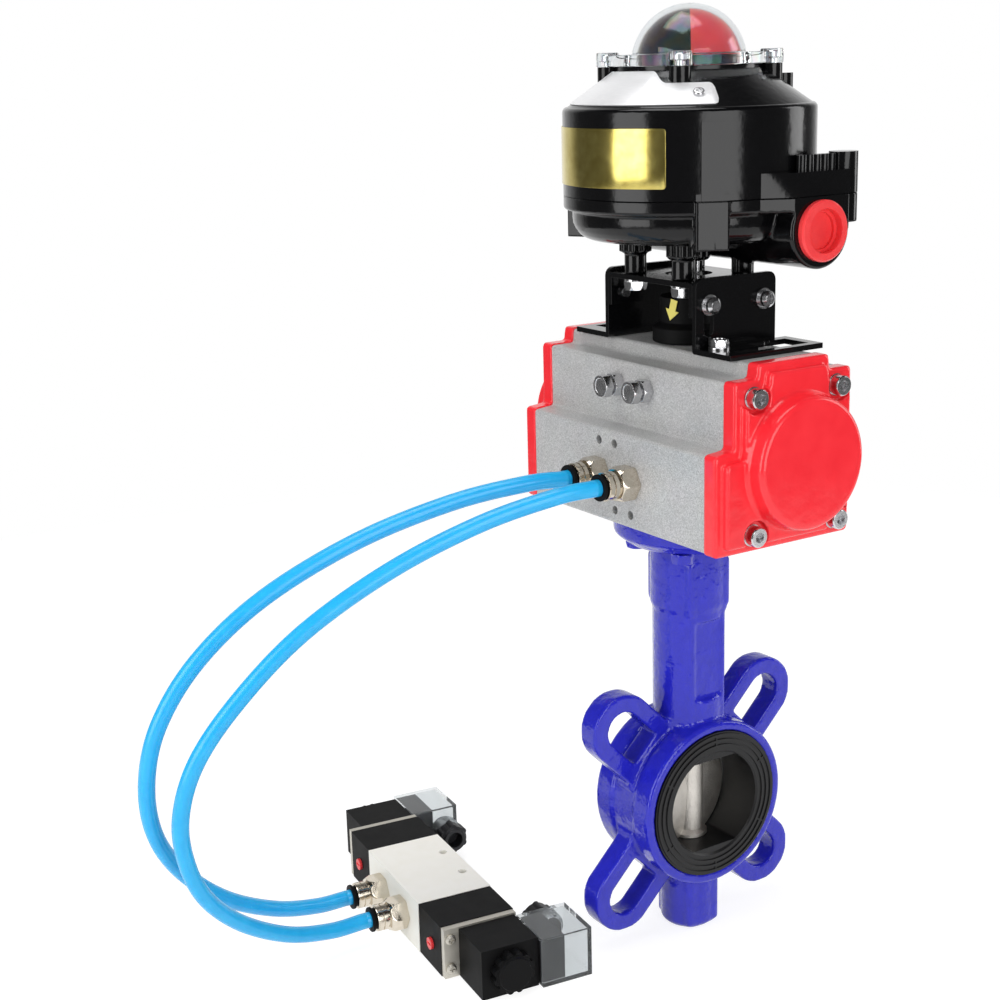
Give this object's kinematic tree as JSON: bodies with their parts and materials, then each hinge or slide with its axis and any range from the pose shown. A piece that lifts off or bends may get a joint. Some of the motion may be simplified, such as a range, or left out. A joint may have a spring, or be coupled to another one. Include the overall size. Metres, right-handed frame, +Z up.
{
  "type": "pneumatic actuated valve",
  "caption": "Wafer butterfly valve turned by a rack-and-pinion air actuator, with a limit switch box on top and a solenoid valve on two air tubes.",
  "frame": {"origin": "centre of the flow bore, on the disc's turning axis", "axes": "+X along the pipe and the actuator's long axis, the air ports face -Y, +Z up along the stem"},
  "size_m": [0.2628, 0.3262, 0.4545],
  "materials": {
    "blue_enamel": "ultramarine enamel over cast iron",
    "black_rubber": "moulded rubber",
    "disc_nickel": "cast and machined, satin",
    "steel": "machined steel",
    "bronze": "sintered bronze",
    "zinc_screws": "bright zinc plating",
    "anodised": "grey hard anodised, fine grit",
    "red_paint": "red coat over die-cast alloy",
    "cast_alloy": "die-cast alloy",
    "white_plastic": "acetal",
    "black_plastic": "satin moulded plastic",
    "yellow_paint": "yellow insert",
    "black_sheet": "gloss black coat over bent sheet steel",
    "black_coat": "gloss black coat over die-cast alloy",
    "red_plastic": "gloss red plastic",
    "green_plastic": "moulded terminal block",
    "clear_plastic": "clear polycarbonate",
    "nickel_brass": "nickel-plated brass",
    "blue_tube": "light blue polyurethane tube",
    "cream_paint": "cream coat over aluminium",
    "grey_plastic": "dark grey moulded plastic"
  },
  "bodies": {
    "root": {"valve_body": "blue_enamel", "valve_seat": "black_rubber", "bushes": "bronze", "seals": "black_rubber", "flange_bolts": "zinc_screws", "actuator_body": "anodised", "end_cap_left": "red_paint", "end_cap_right": "red_paint", "end_cap_screws": "zinc_screws", "pinion_bearings": "white_plastic", "stop_bolts": "zinc_screws", "bracket_left": "black_sheet", "bracket_right": "black_sheet", "bracket_bridge": "black_sheet", "bracket_screws": "zinc_screws", "box_bolts": "zinc_screws", "switch_housing": "black_coat", "switch_cover": "black_coat", "box_screws": "zinc_screws", "micro_switches": "black_plastic", "terminal_block": "green_plastic", "conduit_plugs": "red_plastic", "dome": "clear_plastic", "fittings": "nickel_brass", "air_tube_a": "blue_tube", "air_tube_b": "blue_tube", "solenoid_block": "cream_paint", "pilot_blocks": "black_plastic", "core_tubes": "steel", "coils": "black_plastic", "coil_nuts": "black_plastic", "plugs": "clear_plastic", "plug_inserts": "grey_plastic"},
    "rotor": {"valve_disc": "disc_nickel", "upper_stem": "steel", "lower_stem": "steel", "pinion": "steel", "stop_cam": "steel", "circlip": "steel", "position_puck": "black_plastic", "puck_arrow": "yellow_paint", "switch_shaft": "steel", "switch_cams": "red_plastic", "beacon": "black_plastic", "beacon_red": "red_plastic"},
    "piston_left": {"piston_left": "cast_alloy", "piston_ring_left": "black_rubber", "guide_pad_left": "white_plastic"},
    "piston_right": {"piston_right": "cast_alloy", "piston_ring_right": "black_rubber", "guide_pad_right": "white_plastic"},
    "spool": {"spool": "steel"},
    "plunger_left": {"plunger_left": "steel"},
    "plunger_right": {"plunger_right": "steel"},
    "button_left": {"button_left": "red_plastic"},
    "button_right": {"button_right": "red_plastic"},
    "collet_a": {"collet_a": "black_plastic"},
    "collet_b": {"collet_b": "black_plastic"},
    "collet_c": {"collet_c": "black_plastic"},
    "collet_d": {"collet_d": "black_plastic"}
  },
  "joints": [
    {"name": "quarter_turn", "type": "hinge", "parent": "root", "child": "rotor", "pos_m": [0, 0, 0.186], "axis": [0, 0, 1], "range_deg": [-12, 78]},
    {"name": "piston_right_stroke", "type": "slide", "parent": "root", "child": "piston_right", "axis": [1, 0, 0], "range_m": [-0.00236, 0.01532]},
    {"name": "piston_left_stroke", "type": "slide", "parent": "root", "child": "piston_left", "axis": [1, 0, 0], "range_m": [-0.01532, 0.00236]},
    {"name": "spool_shift", "type": "slide", "parent": "root", "child": "spool", "axis": [0.9925, -0.1219, 0], "range_m": [0, 0.004]},
    {"name": "plunger_right_lift", "type": "slide", "parent": "root", "child": "plunger_right", "axis": [0.9925, -0.1219, 0], "range_m": [0, 0.0015], "stiffness_N_per_m": 400},
    {"name": "plunger_left_lift", "type": "slide", "parent": "root", "child": "plunger_left", "axis": [-0.9925, 0.1219, 0], "range_m": [0, 0.0015], "stiffness_N_per_m": 400},
    {"name": "button_right_press", "type": "slide", "parent": "root", "child": "button_right", "axis": [0.1219, 0.9925, 0], "range_m": [0, 0.0015], "stiffness_N_per_m": 800},
    {"name": "button_left_press", "type": "slide", "parent": "root", "child": "button_left", "axis": [0.1219, 0.9925, 0], "range_m": [0, 0.0015], "stiffness_N_per_m": 800},
    {"name": "collet_a_press", "type": "slide", "parent": "root", "child": "collet_a", "axis": [0, 1, 0], "range_m": [0, 0.001]},
    {"name": "collet_b_press", "type": "slide", "parent": "root", "child": "collet_b", "axis": [0, 1, 0], "range_m": [0, 0.001]},
    {"name": "collet_c_press", "type": "slide", "parent": "root", "child": "collet_c", "axis": [0.1219, 0.9925, 0], "range_m": [0, 0.001]},
    {"name": "collet_d_press", "type": "slide", "parent": "root", "child": "collet_d", "axis": [0.1219, 0.9925, 0], "range_m": [0, 0.001]}
  ],
  "couplings": [
    {"joint": "piston_right_stroke", "follows": "quarter_turn", "m_per_rad": 0.01125},
    {"joint": "piston_left_stroke", "follows": "quarter_turn", "m_per_rad": -0.01125}
  ]
}
